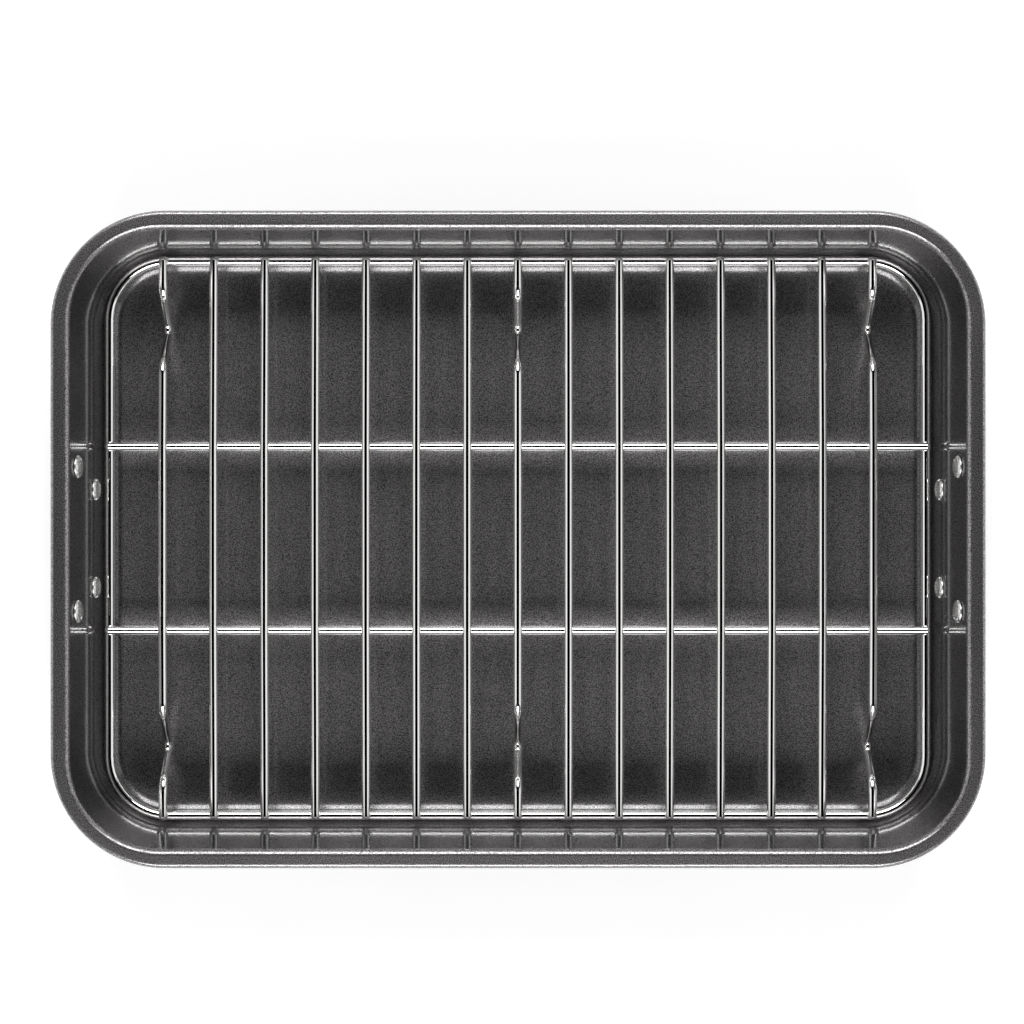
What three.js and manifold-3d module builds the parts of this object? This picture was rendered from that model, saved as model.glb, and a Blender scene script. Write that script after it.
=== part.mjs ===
// Roasting pan with a flat wire rack and two folding wire handles.
// Millimetres, +Z up, X along the pan's length. The origin is the middle of the underside.
import * as THREE from "three";
import { mergeVertices } from "three/addons/utils/BufferGeometryUtils.js";
import Module from "manifold-3d";

// Pan: one drawing of coated sheet steel.
const panLength = 433.4;
const panWidth = 304.8;
const panHeight = 70;
const sheet = 1;
const rimWidth = 9;
const rimBend = 2;
const rimRoll = 4;
const rimCurl = 225;
const rimCorner = 53;
const wallDraft = 6.3;
const floorFillet = 9.5;
// The corners tighten as the wall comes in: millimetres of radius for each millimetre of inset.
const cornerTightening = 1.25;

// Gap left between pieces that touch on the real pan.
const seatGap = 0.3;

// Rivets: domed head inside the pan, upset tail outside.
const rivetHead = 10.8;
const rivetHeadHeight = 2.4;
const rivetHeadEdge = 0.5;
const rivetShank = 5;
const rivetTail = 8.4;
const rivetTailHeight = 1.8;
const upperRivetSpacing = 67.8;
const upperRivetDrop = 14;
const lowerRivetSpacing = 47;
const lowerRivetDrop = 45;

// Handles: a wire bail with turned-in feet, held at each foot by a stamped saddle bracket.
const bailWire = 5.5;
const bailArmPastRivet = 15.1;
const bailFootBend = 7;
const bailGripBend = 14;
const bailFootPastBracket = 2;
const bailTableClearance = 4;
const pivotDrop = 23.5;
const pivotPlay = 0.3;
const bracketSheet = 1.2;
const bracketWidth = 16;
const bracketBend = 1;

// Rack: welded wires, standing on legs bent into three of the cross wires.
const rackHeight = 25;
const rackPlay = 0.3;
const rackSideGap = 1.9;
const frameWire = 4.5;
const longWire = 4.3;
const crossWire = 4.3;
const crossPitch = 24.4;
const crossEdge = 18;
// Place of the long wires, as a share of the frame's half width.
const longShare = 0.331;
const weldSink = 1;
const wireEndTrim = 0.5;
const legInset = 32.4;
const legAngle = 38.5;
const legTipBend = 5.4;
const legTopBend = 10;

// Facets.
const cornerSteps = 8;
const filletSteps = 4;
const rollSteps = 10;
const wireSides = 10;
const rivetSides = 12;
const domeSteps = 4;
const bracketArcSteps = 5;
const bendStep = THREE.MathUtils.degToRad(20);

const coatedSteel = new THREE.MeshStandardMaterial({ color: 0x3f4042, roughness: 0.35, metalness: 0.4 });
const chromedWire = new THREE.MeshStandardMaterial({ color: 0xd9dadb, roughness: 0.08, metalness: 1 });
const rivetMetal = new THREE.MeshStandardMaterial({ color: 0xc9cacb, roughness: 0.3, metalness: 1 });
const platedSteel = new THREE.MeshStandardMaterial({ color: 0xbfc1c3, roughness: 0.25, metalness: 1 });

const wasm = await Module();
wasm.setup();

// Booleans on closed meshes.
function solidOf(geometry) {
  const bare = geometry.clone();
  bare.deleteAttribute("normal");
  bare.deleteAttribute("uv");
  const merged = mergeVertices(bare);
  const triVerts = new Uint32Array(merged.index.array);
  const vertProperties = new Float32Array(merged.attributes.position.array);
  return new wasm.Manifold(new wasm.Mesh({ numProp: 3, vertProperties, triVerts }));
}

function geometryOf(solid) {
  const mesh = solid.getMesh();
  const geometry = new THREE.BufferGeometry();
  geometry.setAttribute("position", new THREE.BufferAttribute(mesh.vertProperties, mesh.numProp));
  geometry.setIndex(new THREE.BufferAttribute(mesh.triVerts, 1));
  geometry.computeVertexNormals();
  return geometry;
}

function cut(geometry, tools) {
  const cutSolid = tools.reduce((solid, tool) => solid.subtract(solidOf(tool)), solidOf(geometry));
  return geometryOf(cutSolid);
}

function piece(name, geometry, material) {
  const mesh = new THREE.Mesh(geometry, material);
  mesh.name = name;
  return mesh;
}

// Rounded rectangles: the pan and the rack frame are both lofted through them.
// An inset is measured inwards from the rim's outer edge, and a widened one is that much wider in Y.
const panCorner = (inset) => rimCorner - cornerTightening * inset;

function roundedRectangle(inset, corner, widening) {
  const points = [];
  const centreX = panLength / 2 - inset - corner;
  const centreY = panWidth / 2 - inset - corner + widening;
  for (let quarter = 0; quarter < 4; quarter++) {
    const sideX = quarter === 0 || quarter === 3 ? 1 : -1;
    const sideY = quarter < 2 ? 1 : -1;
    for (let step = 0; step <= cornerSteps; step++) {
      const angle = (quarter + step / cornerSteps) * (Math.PI / 2);
      const x = sideX * centreX + corner * Math.cos(angle);
      const y = sideY * centreY + corner * Math.sin(angle);
      points.push(new THREE.Vector2(x, y));
    }
  }
  return points;
}

// Each profile point is a rounded rectangle at one height. A closed profile goes round a wire,
// and an open one starts and ends on a flat face.
function rectangleLoft(profile, widening, closed) {
  const rings = profile.map(({ inset, z, corner }) =>
    roundedRectangle(inset, corner, widening).map((point) => [point.x, point.y, z]),
  );
  const count = rings[0].length;
  const index = [];
  const bands = closed ? rings.length : rings.length - 1;
  for (let ring = 0; ring < bands; ring++) {
    const here = ring * count;
    const next = ((ring + 1) % rings.length) * count;
    for (let k = 0; k < count; k++) {
      const after = (k + 1) % count;
      index.push(here + k, next + after, here + after);
      index.push(here + k, next + k, next + after);
    }
  }
  if (!closed) {
    const last = (rings.length - 1) * count;
    for (let k = 1; k < count - 1; k++) {
      index.push(0, k, k + 1);
      index.push(last, last + k + 1, last + k);
    }
  }
  const geometry = new THREE.BufferGeometry();
  geometry.setAttribute("position", new THREE.Float32BufferAttribute(rings.flat(2), 3));
  geometry.setIndex(index);
  return geometry;
}

// Wires: a round section along straight runs with round bends, all in one plane.
// A corner is [along, up] or [along, up, bend radius].
class BentWire extends THREE.Curve {
  constructor(corners, origin, alongAxis) {
    super();
    this.origin = origin;
    this.alongAxis = alongAxis;
    this.points = [];
    this.tangents = [];
    const spots = corners.map(([along, up]) => new THREE.Vector2(along, up));
    spots.forEach((spot, k) => {
      const before = spots[Math.max(k - 1, 0)];
      const after = spots[Math.min(k + 1, spots.length - 1)];
      const leaving = (k + 1 < spots.length ? after.clone().sub(spot) : spot.clone().sub(before)).normalize();
      const arriving = (k > 0 ? spot.clone().sub(before) : leaving.clone()).normalize();
      this.addBend(spot, arriving, leaving, corners[k][2] ?? 0);
    });
  }

  addBend(spot, arriving, leaving, bend) {
    const turn = Math.atan2(arriving.cross(leaving), arriving.dot(leaving));
    if (bend === 0) {
      this.addPoint(spot, arriving.clone().add(leaving).normalize());
      return;
    }
    const start = spot.clone().addScaledVector(arriving, -bend * Math.tan(Math.abs(turn) / 2));
    const inward = new THREE.Vector2(-arriving.y, arriving.x).multiplyScalar(Math.sign(turn));
    const centre = start.clone().addScaledVector(inward, bend);
    const steps = Math.ceil(Math.abs(turn) / bendStep);
    for (let step = 0; step <= steps; step++) {
      const angle = (turn * step) / steps;
      const spun = arriving.clone().rotateAround(new THREE.Vector2(), angle);
      this.addPoint(start.clone().rotateAround(centre, angle), spun);
    }
  }

  addPoint(spot, tangent) {
    this.points.push(this.inSpace(spot).add(this.origin));
    this.tangents.push(this.inSpace(tangent));
  }

  inSpace(flat) {
    return this.alongAxis.clone().multiplyScalar(flat.x).add(new THREE.Vector3(0, 0, flat.y));
  }

  getSpacedPoints() {
    return this.points;
  }

  computeFrenetFrames() {
    const across = this.alongAxis.clone().cross(new THREE.Vector3(0, 0, 1));
    const normals = this.tangents.map(() => across);
    const binormals = this.tangents.map((tangent) => tangent.clone().cross(across));
    return { tangents: this.tangents, normals, binormals };
  }
}

// A round section with a corner at its top and its bottom.
function roundSection(radius) {
  const corners = [];
  for (let side = 0; side < wireSides; side++) {
    const angle = Math.PI / 2 + (side / wireSides) * 2 * Math.PI;
    corners.push(new THREE.Vector2(radius * Math.cos(angle), radius * Math.sin(angle)));
  }
  return new THREE.Shape(corners);
}

function wireGeometry(path, diameter) {
  const steps = path.points.length - 1;
  return new THREE.ExtrudeGeometry(roundSection(diameter / 2), { steps, extrudePath: path });
}

// Points of an arc in a profile, as insets and heights. Angle 0 points up and 90 degrees points inwards.
function arc(inset, z, radius, from, to, steps) {
  const points = [];
  for (let step = 0; step <= steps; step++) {
    const angle = THREE.MathUtils.degToRad(from + ((to - from) * step) / steps);
    points.push({ inset: inset + radius * Math.sin(angle), z: z + radius * Math.cos(angle) });
  }
  return points;
}

// Pan shell: floor, fillet, drafted wall, flange and rolled edge, as the two faces of one sheet.
const draft = THREE.MathUtils.degToRad(wallDraft);
const rimBendInset = rimWidth - rimBend - sheet;
const rimBendZ = panHeight - rimBend - sheet;
const wallTopInset = rimBendInset + (rimBend + sheet) * Math.cos(draft);
const wallTopZ = rimBendZ + (rimBend + sheet) * Math.sin(draft);
// Inset of the wall's inner face at a height, and of its outer face.
const innerWall = (z) => wallTopInset + (wallTopZ - z) * Math.tan(draft);
const outerWall = (z) => innerWall(z) - sheet / Math.cos(draft);

function panProfile() {
  const filletZ = sheet + floorFillet;
  const wallFootZ = filletZ - floorFillet * Math.sin(draft);
  const filletInset = innerWall(wallFootZ) + floorFillet * Math.cos(draft);
  const rollRadius = rimRoll / 2;
  const rollZ = panHeight - rollRadius;
  const inside = [
    ...arc(filletInset, filletZ, floorFillet, 180, 270 + wallDraft, filletSteps),
    ...arc(rimBendInset, rimBendZ, rimBend + sheet, 90 - wallDraft, 0, filletSteps),
    ...arc(rollRadius, rollZ, rollRadius, 0, -rimCurl, rollSteps),
  ];
  const outside = [
    ...arc(rollRadius, rollZ, rollRadius - sheet, -rimCurl, 0, rollSteps),
    ...arc(rimBendInset, rimBendZ, rimBend, 0, 90 - wallDraft, filletSteps),
    ...arc(filletInset, filletZ, floorFillet + sheet, 270 + wallDraft, 180, filletSteps),
  ];
  return [...inside, ...outside].map(({ inset, z }) => ({ inset, z, corner: panCorner(inset) }));
}

// A group on the outer face of the right end wall: local X leaves the wall, local Z runs up it.
function onEndWall(z) {
  const group = new THREE.Group();
  group.position.set(panLength / 2 - outerWall(z), 0, z);
  group.rotation.y = draft;
  return group;
}

// One end's fittings are modelled at the right end, and the left end's are turned half round.
const ends = [
  { name: "left", turn: Math.PI },
  { name: "right", turn: 0 },
];
// The front is the -Y side, so the turned end has its front on the other hand.
const sidesOf = (end) => [
  { name: end.turn ? "rear" : "front", hand: -1 },
  { name: end.turn ? "front" : "rear", hand: 1 },
];

const rivetRows = [
  { name: "upper", y: upperRivetSpacing / 2, z: panHeight - upperRivetDrop },
  { name: "lower", y: lowerRivetSpacing / 2, z: panHeight - lowerRivetDrop },
];

// A rivet's axis is local X, with its origin on the wall's outer face.
const tailSeat = seatGap + bracketSheet + seatGap;
const headSeat = -sheet - seatGap;

function rivetGeometry() {
  const headRadius = rivetHead / 2;
  const domeHeight = rivetHeadHeight - rivetHeadEdge;
  const domeRadius = (headRadius ** 2 + domeHeight ** 2) / (2 * domeHeight);
  const domeAngle = Math.asin(headRadius / domeRadius);
  const domeEnd = headSeat - rivetHeadHeight;
  const profile = [];
  for (let step = 0; step <= domeSteps; step++) {
    const angle = (domeAngle * step) / domeSteps;
    const up = domeEnd + domeRadius * (1 - Math.cos(angle));
    profile.push(new THREE.Vector2(domeRadius * Math.sin(angle), up));
  }
  const tailEnd = tailSeat + rivetTailHeight;
  const tailRadius = rivetTail / 2;
  const tailChamfer = rivetTailHeight / 2;
  profile.push(new THREE.Vector2(headRadius, headSeat));
  profile.push(new THREE.Vector2(rivetShank / 2, headSeat));
  profile.push(new THREE.Vector2(rivetShank / 2, tailSeat));
  profile.push(new THREE.Vector2(tailRadius, tailSeat));
  profile.push(new THREE.Vector2(tailRadius, tailEnd - tailChamfer));
  profile.push(new THREE.Vector2(tailRadius - tailChamfer, tailEnd));
  profile.push(new THREE.Vector2(0, tailEnd));
  return new THREE.LatheGeometry(profile, rivetSides).rotateZ(-Math.PI / 2);
}

// A hole for a rivet's shank, through the wall and the bracket on it.
function rivetHole() {
  const depth = 2 * (tailSeat - headSeat);
  const radius = rivetShank / 2 + seatGap;
  return new THREE.CylinderGeometry(radius, radius, depth, rivetSides).rotateZ(Math.PI / 2);
}

function panGeometry() {
  const holes = [];
  for (const end of ends) {
    for (const row of rivetRows) {
      for (const hand of [-1, 1]) {
        const turned = new THREE.Group();
        const wall = onEndWall(row.z);
        turned.rotation.z = end.turn;
        wall.position.y = hand * row.y;
        turned.add(wall);
        turned.updateMatrixWorld(true);
        holes.push(rivetHole().applyMatrix4(wall.matrixWorld));
      }
    }
  }
  return cut(rectangleLoft(panProfile(), 0, false), holes);
}

// Saddle bracket: a slanted strap between its two rivets, humped over the bail's foot.
// Local X leaves the wall, local Z runs up it, and the origin is on the wall at the pivot's height.
const pivotZ = panHeight - pivotDrop;
const pivotStandoff = bailWire / 2 + pivotPlay;
const upWall = (z) => (z - pivotZ) / Math.cos(draft);

function saddleProfile() {
  const inner = bailWire / 2 + pivotPlay;
  const outer = inner + bracketSheet;
  const back = seatGap;
  const face = seatGap + bracketSheet;
  const reach = panHeight;
  const quarter = Math.PI / 2;
  const shape = new THREE.Shape();
  shape.moveTo(face, -reach);
  shape.lineTo(face, -outer - bracketBend);
  shape.absarc(face + bracketBend, -outer - bracketBend, bracketBend, Math.PI, quarter, true);
  shape.lineTo(pivotStandoff, -outer);
  shape.absarc(pivotStandoff, 0, outer, -quarter, quarter, false);
  shape.lineTo(face + bracketBend, outer);
  shape.absarc(face + bracketBend, outer + bracketBend, bracketBend, -quarter, -Math.PI, true);
  shape.lineTo(face, reach);
  shape.lineTo(back, reach);
  shape.lineTo(back, inner);
  shape.lineTo(pivotStandoff, inner);
  shape.absarc(pivotStandoff, 0, inner, quarter, -quarter, true);
  shape.lineTo(back, -inner);
  shape.lineTo(back, -reach);
  return shape;
}

function strapOutline(hand) {
  const [upper, lower] = rivetRows.map((row) => new THREE.Vector2(hand * row.y, upWall(row.z)));
  const slant = upper.clone().sub(lower).angle();
  const radius = bracketWidth / 2;
  const shape = new THREE.Shape();
  shape.absarc(upper.x, upper.y, radius, slant - Math.PI / 2, slant + Math.PI / 2, false);
  shape.absarc(lower.x, lower.y, radius, slant + Math.PI / 2, slant + (3 * Math.PI) / 2, false);
  return shape;
}

function bracketGeometry(hand) {
  const span = upperRivetSpacing + 2 * bracketWidth;
  const depth = pivotStandoff + bailWire + 2 * bracketSheet;
  const plain = { bevelEnabled: false, curveSegments: bracketArcSteps };
  const saddle = new THREE.ExtrudeGeometry(saddleProfile(), { ...plain, depth: span });
  saddle.rotateX(Math.PI / 2).translate(0, span / 2, 0);
  const outline = new THREE.ExtrudeGeometry(strapOutline(hand), { ...plain, depth });
  const outlineAxes = [new THREE.Vector3(0, 1, 0), new THREE.Vector3(0, 0, 1), new THREE.Vector3(1, 0, 0)];
  outline.applyMatrix4(new THREE.Matrix4().makeBasis(...outlineAxes));
  const strap = geometryOf(solidOf(saddle).intersect(solidOf(outline)));
  const holes = rivetRows.map((row) => rivetHole().translate(0, hand * row.y, upWall(row.z)));
  return cut(strap, holes);
}

// Bail: feet turned in along the pivot, two arms hanging down, and the grip across.
function bailPivot() {
  const wall = onEndWall(pivotZ);
  return new THREE.Vector3(pivotStandoff, 0, 0).applyEuler(wall.rotation).add(wall.position);
}

function bailGeometry() {
  const [upper, lower] = rivetRows;
  const atPivot = (pivotZ - lower.z) / (upper.z - lower.z);
  const bracketY = lower.y + (upper.y - lower.y) * atPivot;
  const slant = Math.atan2(upper.y - lower.y, upper.z - lower.z);
  const footEnd = bracketY - bracketWidth / 2 / Math.cos(slant) - bailFootPastBracket;
  const armY = upperRivetSpacing / 2 + bailArmPastRivet;
  const gripZ = bailTableClearance + bailWire / 2 - bailPivot().z;
  const corners = [
    [-footEnd, 0],
    [-armY, 0, bailFootBend],
    [-armY, gripZ, bailGripBend],
    [armY, gripZ, bailGripBend],
    [armY, 0, bailFootBend],
    [footEnd, 0],
  ];
  return wireGeometry(new BentWire(corners, new THREE.Vector3(), new THREE.Vector3(0, 1, 0)), bailWire);
}

function endFittings(end) {
  const group = new THREE.Group();
  group.rotation.z = end.turn;
  for (const side of sidesOf(end)) {
    for (const row of rivetRows) {
      const wall = onEndWall(row.z);
      const rivet = piece(`${end.name}_${side.name}_${row.name}_rivet`, rivetGeometry(), rivetMetal);
      rivet.position.y = side.hand * row.y;
      wall.add(rivet);
      group.add(wall);
    }
    const wall = onEndWall(pivotZ);
    wall.add(piece(`${end.name}_${side.name}_bracket`, bracketGeometry(side.hand), platedSteel));
    group.add(wall);
  }
  const bail = piece(`${end.name}_handle_bail`, bailGeometry(), chromedWire);
  bail.position.copy(bailPivot());
  group.add(bail);
  return group;
}

// Rack heights: cross wires lie on the long wires, and both are pressed a little into what they cross.
const rackFloor = sheet + seatGap;
const crossZ = rackFloor + rackHeight - crossWire / 2;
const longZ = crossZ - (crossWire + longWire) / 2 + weldSink;
const frameZ = longZ - (longWire + frameWire) / 2 + weldSink;
const crossEndZ = frameZ + (frameWire + crossWire) / 2 - weldSink;

// The frame clears the rivet heads as the rack is lifted out, and lies closer to the long walls.
const frameInset = innerWall(frameZ) + seatGap + rivetHeadHeight + rackPlay + frameWire / 2;
const frameX = panLength / 2 - frameInset;
const frameY = panWidth / 2 - innerWall(frameZ) - rackSideGap - frameWire / 2;
const frameWidening = frameY - (panWidth / 2 - frameInset);
const longY = frameY * longShare;

function frameGeometry(wire) {
  const section = arc(frameInset, frameZ, wire / 2, 0, -360, wireSides).slice(1);
  const corner = panCorner(frameInset);
  const profile = section.map((point) => ({ ...point, corner: corner + frameInset - point.inset }));
  return rectangleLoft(profile, frameWidening, true);
}

function longGeometry(y, wire) {
  const end = frameX + frameWire / 2 - wireEndTrim;
  const corners = [
    [-end, longZ],
    [end, longZ],
  ];
  return wireGeometry(new BentWire(corners, new THREE.Vector3(0, y, 0), new THREE.Vector3(1, 0, 0)), wire);
}

// Half of a cross wire, from its end to the long wire: it slopes down to the frame, and a leg wire
// dips to the floor in a V on the way.
const crossSlope = (crossZ - crossEndZ) / (frameY - longY);
const crossHeight = (y) => crossZ - crossSlope * (y - longY);

function halfCrossWire(legged) {
  const end = frameY + frameWire / 2 - wireEndTrim;
  const half = [[end, crossHeight(end)]];
  if (legged) {
    const lean = THREE.MathUtils.degToRad(legAngle);
    const legY = frameY - legInset;
    const footZ = rackFloor + crossWire / 2;
    const tipZ = footZ - legTipBend * (1 / Math.sin(lean) - 1);
    const spread = (crossHeight(legY) - tipZ) * Math.tan(lean);
    const outerY = legY + spread / (1 + crossSlope * Math.tan(lean));
    const innerY = legY - spread / (1 - crossSlope * Math.tan(lean));
    half.push([outerY, crossHeight(outerY), legTopBend]);
    half.push([legY, tipZ, legTipBend]);
    half.push([innerY, crossHeight(innerY), legTopBend]);
  }
  half.push([longY, crossZ]);
  return half;
}

function crossGeometry(x, legged, tools) {
  const half = halfCrossWire(legged);
  const mirrored = half.map(([y, ...rest]) => [-y, ...rest]);
  const corners = [...mirrored, ...half.reverse()];
  const path = new BentWire(corners, new THREE.Vector3(x, 0, 0), new THREE.Vector3(0, 1, 0));
  return cut(wireGeometry(path, crossWire), tools);
}

function rackGroup() {
  const group = new THREE.Group();
  group.add(piece("rack_frame", frameGeometry(frameWire), chromedWire));
  const frameTool = frameGeometry(frameWire + 2 * seatGap);
  const longTools = [];
  for (const side of [
    { name: "front", y: -longY },
    { name: "rear", y: longY },
  ]) {
    const notched = cut(longGeometry(side.y, longWire), [frameTool]);
    group.add(piece(`rack_${side.name}_long_wire`, notched, chromedWire));
    longTools.push(longGeometry(side.y, longWire + 2 * seatGap));
  }
  const pitches = Math.floor((frameX - crossEdge) / crossPitch);
  const legPlaces = new Map([
    [-pitches, "left"],
    [0, "middle"],
    [pitches, "right"],
  ]);
  for (let place = -pitches; place <= pitches; place++) {
    const legName = legPlaces.get(place);
    const number = String(place + pitches + 1).padStart(2, "0");
    const name = legName ? `rack_leg_wire_${legName}` : `rack_cross_wire_${number}`;
    const geometry = crossGeometry(place * crossPitch, Boolean(legName), [frameTool, ...longTools]);
    group.add(piece(name, geometry, chromedWire));
  }
  return group;
}

const roastingPan = new THREE.Group();
roastingPan.add(piece("pan_shell", panGeometry(), coatedSteel));
for (const end of ends) roastingPan.add(endFittings(end));
roastingPan.add(rackGroup());

export default roastingPan;
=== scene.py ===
import math

import bmesh
import bpy
from mathutils import Euler, Matrix, Vector


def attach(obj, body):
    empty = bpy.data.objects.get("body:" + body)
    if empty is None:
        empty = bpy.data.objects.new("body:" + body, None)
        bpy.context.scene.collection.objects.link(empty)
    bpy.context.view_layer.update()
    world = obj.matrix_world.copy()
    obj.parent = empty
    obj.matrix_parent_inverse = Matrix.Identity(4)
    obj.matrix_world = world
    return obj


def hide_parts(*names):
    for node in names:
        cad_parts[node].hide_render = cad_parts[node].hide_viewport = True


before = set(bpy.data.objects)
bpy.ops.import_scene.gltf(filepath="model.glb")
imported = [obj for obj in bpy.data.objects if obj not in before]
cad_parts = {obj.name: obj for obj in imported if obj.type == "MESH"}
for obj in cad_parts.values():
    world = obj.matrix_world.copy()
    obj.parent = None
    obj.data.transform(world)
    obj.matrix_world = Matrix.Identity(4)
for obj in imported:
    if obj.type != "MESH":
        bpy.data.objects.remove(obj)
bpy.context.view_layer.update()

# Pan shell: one blank of steel sheet, deep-drawn into a shallow tray with round corners.
# Its edge is turned out into a flat flange and rolled under, and the whole of it is sprayed
# with a dark non-stick coating.
mm = 0.001
pan_length = 433.4 * mm
pan_width = 304.8 * mm
pan_height = 70 * mm
sheet = 1 * mm
rim_width = 9 * mm
rim_bend = 2 * mm
rim_roll = 4 * mm
rim_curl = 225
rim_corner = 53 * mm
corner_tightening = 1.25
wall_draft = 6.3
floor_fillet = 9.5 * mm

draft = math.radians(wall_draft)
rim_bend_inset = rim_width - rim_bend - sheet
rim_bend_z = pan_height - rim_bend - sheet
wall_top_inset = rim_bend_inset + (rim_bend + sheet) * math.cos(draft)
wall_top_z = rim_bend_z + (rim_bend + sheet) * math.sin(draft)


def inner_wall(z):
    """Inset of the wall's inner face from the rim's outer edge, at a height."""
    return wall_top_inset + (wall_top_z - z) * math.tan(draft)


def outer_wall(z):
    """Inset of the wall's outer face from the rim's outer edge, at a height."""
    return inner_wall(z) - sheet / math.cos(draft)


def arc(inset, z, radius, start, end, steps):
    """Profile points along an arc: 0 degrees points up and 90 points inwards."""
    angles = [math.radians(start + (end - start) * k / steps) for k in range(steps + 1)]
    return [(inset + radius * math.sin(a), z + radius * math.cos(a)) for a in angles]


def eased(profile, ease):
    """Adds a point a little way into each long straight, so that only the bends shade as bends."""
    points = [profile[0]]
    for here, there in zip(profile, profile[1:]):
        run = math.dist(here, there)
        if run > 3 * ease:
            for share in (ease / run, 1 - ease / run):
                points.append(tuple(a + (b - a) * share for a, b in zip(here, there)))
        points.append(there)
    return points


def rounded_rectangle(inset, corner, steps):
    """Plan points of a rounded rectangle, inset from the rim's outer edge."""
    centre_x = pan_length / 2 - inset - corner
    centre_y = pan_width / 2 - inset - corner
    points = []
    for quarter, (side_x, side_y) in enumerate(((1, 1), (-1, 1), (-1, -1), (1, -1))):
        for step in range(steps + 1):
            angle = (quarter + step / steps) * math.pi / 2
            x = side_x * centre_x + corner * math.cos(angle)
            y = side_y * centre_y + corner * math.sin(angle)
            points.append((x, y))
    return points


def new_piece(name, mesh, material, body, slot, *nodes):
    """Puts a finished mesh in the scene in place of its CAD nodes."""
    piece = bpy.data.objects.new(name, mesh)
    bpy.context.scene.collection.objects.link(piece)
    mesh.materials.clear()
    mesh.materials.append(material)
    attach(piece, body)
    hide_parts(*nodes)
    return piece


fillet_z = sheet + floor_fillet
fillet_inset = inner_wall(fillet_z - floor_fillet * math.sin(draft)) + floor_fillet * math.cos(draft)
roll_radius = rim_roll / 2
roll_z = pan_height - roll_radius
flat_border = 4 * mm
floor_edge = fillet_inset + flat_border
inside_profile = [
    (floor_edge, sheet),
    *arc(fillet_inset, fillet_z, floor_fillet, 180, 270 + wall_draft, 14),
    *arc(rim_bend_inset, rim_bend_z, rim_bend + sheet, 90 - wall_draft, 0, 10),
    *arc(roll_radius, roll_z, roll_radius, 0, -rim_curl, 22),
]
outside_profile = [
    *arc(roll_radius, roll_z, roll_radius - sheet, -rim_curl, 0, 14),
    *arc(rim_bend_inset, rim_bend_z, rim_bend, 0, 90 - wall_draft, 8),
    *arc(fillet_inset, fillet_z, floor_fillet + sheet, 270 + wall_draft, 180, 14),
    (floor_edge, 0),
]
shell = bmesh.new()
outside = shell.verts.layers.float.new("outside")
bend_ease = 0.4 * mm
corner_steps = 28
rings = []
for face_of_sheet, profile in enumerate((inside_profile, outside_profile)):
    for inset, z in eased(profile, bend_ease):
        corner = rim_corner - corner_tightening * inset
        plan = rounded_rectangle(inset, corner, corner_steps)
        ring = [shell.verts.new((x, y, z)) for x, y in plan]
        for vert in ring:
            vert[outside] = face_of_sheet
        rings.append(ring)
for lower, upper in zip(rings, rings[1:]):
    for k, vert in enumerate(lower):
        after = (k + 1) % len(lower)
        shell.faces.new((vert, upper[k], upper[after], lower[after]))
shell.faces.new(rings[0])
shell.faces.new(rings[-1][::-1])
for face in shell.faces:
    face.smooth = True
pan_mesh = bpy.data.meshes.new("pan_shell_mesh")
shell.to_mesh(pan_mesh)
shell.free()


def srgb(hex_colour):
    """An sRGB hex colour as linear RGBA."""
    channels = [int(hex_colour[k : k + 2], 16) / 255 for k in (1, 3, 5)]
    linear = [c / 12.92 if c <= 0.04045 else ((c + 0.055) / 1.055) ** 2.4 for c in channels]
    return (*linear, 1)


def node(tree, kind, inputs=None, **settings):
    """Adds a node with its settings, and sets or links its inputs."""
    made = tree.nodes.new(kind)
    for name, value in settings.items():
        setattr(made, name, value)
    for socket, value in (inputs or {}).items():
        if isinstance(value, bpy.types.NodeSocket):
            tree.links.new(value, made.inputs[socket])
        else:
            made.inputs[socket].default_value = value
    return made


def new_material(name):
    """An empty node material, with its tree."""
    material = bpy.data.materials.new(name)
    material.use_nodes = True
    material.node_tree.nodes.clear()
    return material, material.node_tree


# Non-stick coating: a dark grey coat with mica flake under a clear skin, sprayed on and baked.
# The skin is smooth and glossy, so walls seen along their length mirror the floor and the wires,
# and the flake shows as a fine light and dark fleck where the sheet is looked at square on.
# Real flake is some 0.05 mm across; it is drawn coarser, so that it shows. The coat is darker in
# the floor's fillet and at the foot of the walls, as painted shade in the crease that also dims the
# fillet's highlight, and outside, where it is sprayed with less flake.
fleck_size = 0.56 * mm
fleck_depth = 0.1 * mm
mottle_size = 28 * mm
# How dark the painted shade in the floor's fillet is: a share of the coat's own colour.
fillet_shade_tone = 0.45
outside_tone = 0.42
coating, tree = new_material("baked_nonstick_coating")
place = node(tree, "ShaderNodeTexCoord").outputs["Object"]
flake = node(
    tree, "ShaderNodeTexNoise", {"Vector": place, "Scale": 1 / fleck_size, "Detail": 1.0, "Roughness": 0.7}
).outputs["Fac"]
flake_level = node(
    tree, "ShaderNodeMapRange", {"Value": flake, "From Min": 0.33, "From Max": 0.7}
).outputs["Result"]
flecked = node(
    tree, "ShaderNodeMix", {0: flake_level, 6: srgb("#424142"), 7: srgb("#bebbbc")}, data_type="RGBA"
).outputs[2]
mottle = node(
    tree, "ShaderNodeTexNoise", {"Vector": place, "Scale": 1 / mottle_size, "Detail": 2.0}
).outputs["Fac"]
mottle_level = node(
    tree,
    "ShaderNodeMapRange",
    {"Value": mottle, "From Min": 0.3, "From Max": 0.7, "To Min": 0.94, "To Max": 1.06},
).outputs["Result"]
thin_coat = node(tree, "ShaderNodeAttribute", attribute_name="outside").outputs["Fac"]
thin_level = node(
    tree, "ShaderNodeMapRange", {"Value": thin_coat, "To Min": 1.0, "To Max": outside_tone}
).outputs["Result"]
facing = node(tree, "ShaderNodeTexCoord").outputs["Normal"]
upright = node(tree, "ShaderNodeSeparateXYZ", {0: facing}).outputs["Z"]
level = node(tree, "ShaderNodeMath", {0: upright}, operation="ABSOLUTE").outputs[0]
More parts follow.
